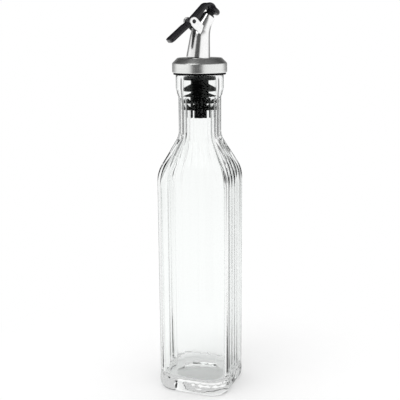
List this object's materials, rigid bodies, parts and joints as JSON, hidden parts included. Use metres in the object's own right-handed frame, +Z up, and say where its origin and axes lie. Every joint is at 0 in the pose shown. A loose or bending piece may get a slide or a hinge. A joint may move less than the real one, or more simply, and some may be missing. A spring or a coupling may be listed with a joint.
{
  "type": "oil cruet",
  "caption": "Square fluted glass oil cruet with a finned stopper, steel collar, bent pouring spout and a hinged flip lid over the lip.",
  "frame": {"origin": "centre of the base, on the surface the bottle stands on", "axes": "+Z up along the bottle's axis to the spout; +X and +Y square to two sides of the glass; the spout pours half way between +X and +Y"},
  "size_m": [0.051, 0.051, 0.2644],
  "materials": {
    "clear_glass": "polished, fluted",
    "black_rubber": "satin",
    "collar_steel": "brushed round",
    "spout_metal": "polished",
    "lid_plastic": "moulded, slightly glossy",
    "seal_rubber": "matt"
  },
  "bodies": {
    "vessel": {"bottle": "clear_glass", "stopper": "black_rubber", "collar": "collar_steel", "spout": "spout_metal"},
    "lid": {"lever": "lid_plastic", "seal": "seal_rubber"}
  },
  "joints": [
    {"name": "lid_hinge", "type": "hinge", "parent": "vessel", "child": "lid", "pos_m": [-0.00438, -0.00438, 0.25229], "axis": [0.7071, -0.7071, 0], "range_deg": [0, 33]}
  ]
}
